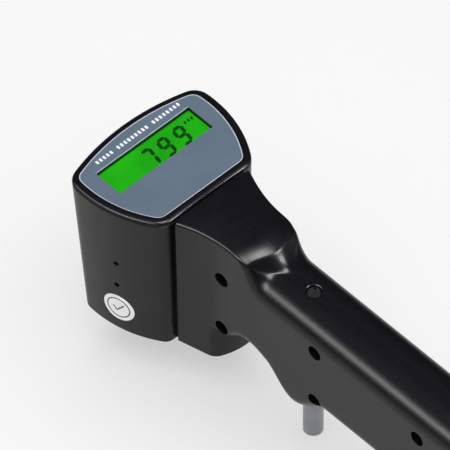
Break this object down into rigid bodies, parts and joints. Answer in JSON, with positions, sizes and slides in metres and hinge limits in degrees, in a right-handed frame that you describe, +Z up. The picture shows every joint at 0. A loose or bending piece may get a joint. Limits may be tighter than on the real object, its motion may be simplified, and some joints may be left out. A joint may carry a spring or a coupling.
{
  "type": "handheld hardness tester",
  "caption": "Pistol-like handheld indentation hardness tester with a lit display on its head, a long plastic grip, a spring-loaded plunger in a nose foot and a steel leg.",
  "frame": {"origin": "centre of the part's box in plan, at the level of the indenter's tip, the lowest point at rest", "axes": "+X to the user's right, +Y from the grip's end towards the head, +Z up"},
  "size_m": [0.0692, 0.2036, 0.0916],
  "materials": {
    "casing": "satin black moulded plastic with a fine texture",
    "label": "printed grey-blue overlay with a pale border",
    "sticker": "white printed sticker",
    "inner_plastic": "matt black moulded plastic",
    "lcd": "backlit display cell",
    "lcd_ink": "dark display segments",
    "backlight": "light guide",
    "contact_rubber": "layered conductive rubber",
    "circuit_board": "solder-masked glass epoxy",
    "chip": "moulded epoxy",
    "trimmer_case": "moulded blue plastic",
    "button": "matt dark grey plastic",
    "steel": "turned",
    "leg_steel": "satin ground",
    "black_steel": "black oxide",
    "hard_steel": "ground and polished",
    "alloy": "die-cast and machined",
    "brass": "turned",
    "sensor_case": "drawn stainless tube",
    "battery_wrap": "printed metal jacket"
  },
  "bodies": {
    "housing": {"left_shell": "casing", "right_shell": "casing", "label_plate": "label", "round_sticker": "sticker", "shell_screws": "black_steel", "display_carrier": "inner_plastic", "lcd_glass": "lcd", "lcd_segments": "lcd_ink", "backlight_panel": "backlight", "contact_strips": "contact_rubber", "main_board": "circuit_board", "board_chips": "chip", "board_screws": "steel", "trimmer_board": "circuit_board", "zero_trimmer": "trimmer_case", "span_trimmer": "trimmer_case", "switch_board": "circuit_board", "power_switch": "chip", "main_frame": "alloy", "plunger_guide": "steel", "load_spring": "steel", "load_screw": "brass", "lock_nut": "steel", "lever_pin": "steel", "sensor_bracket": "alloy", "bracket_screws": "steel", "sensor_body": "sensor_case", "leg_bush": "brass", "leg_key": "steel", "battery": "battery_wrap", "battery_snap": "inner_plastic"},
    "plunger": {"plunger": "steel", "indenter_point": "hard_steel"},
    "lever": {"lever": "steel"},
    "sensor_core": {"sensor_core": "steel"},
    "leg": {"leg": "leg_steel"},
    "leg_screw": {"leg_screw": "steel", "screw_clip": "black_steel"},
    "power_button": {"power_button": "button"},
    "zero_screw": {"zero_screw": "brass"},
    "span_screw": {"span_screw": "brass"},
    "battery_door": {"battery_door": "casing"}
  },
  "joints": [
    {"name": "plunger_slide", "type": "slide", "parent": "housing", "child": "plunger", "axis": [0, 0, 1], "range_m": [0, 0.00076], "stiffness_N_per_m": 4000, "springref_m": -0.006, "deforming": ["load_spring"]},
    {"name": "lever_tilt", "type": "hinge", "parent": "housing", "child": "lever", "pos_m": [0, 0.0897, 0.05976], "axis": [1, 0, 0], "range_deg": [-3.75, 0.2]},
    {"name": "core_slide", "type": "slide", "parent": "housing", "child": "sensor_core", "axis": [0, 0, 1], "range_m": [-0.0001, 0.0021]},
    {"name": "leg_screw_turn", "type": "hinge", "parent": "housing", "child": "leg_screw", "pos_m": [0, -0.0043, 0.07676], "axis": [0, 0, 1], "range_deg": [-725, 725]},
    {"name": "leg_slide", "type": "slide", "parent": "housing", "child": "leg", "axis": [0, 0, 1], "range_m": [-0.0014, 0.0014]},
    {"name": "button_press", "type": "slide", "parent": "housing", "child": "power_button", "axis": [-1, 0, 0], "range_m": [0, 0.0006], "stiffness_N_per_m": 1500, "springref_m": -0.001},
    {"name": "zero_turn", "type": "hinge", "parent": "housing", "child": "zero_screw", "pos_m": [-0.028, 0.072, 0.05856], "axis": [1, 0, 0], "range_deg": [-720, 720]},
    {"name": "span_turn", "type": "hinge", "parent": "housing", "child": "span_screw", "pos_m": [-0.028, 0.072, 0.04556], "axis": [1, 0, 0], "range_deg": [-720, 720]},
    {"name": "door_slide", "type": "slide", "parent": "housing", "child": "battery_door", "axis": [0, -1, 0], "range_m": [0, 0.06]}
  ],
  "couplings": [
    {"joint": "lever_tilt", "follows": "plunger_slide", "rad_per_m": -76.923},
    {"joint": "core_slide", "follows": "plunger_slide", "ratio": 2.5},
    {"joint": "leg_screw_turn", "follows": "leg_slide", "rad_per_m": -8976}
  ]
}
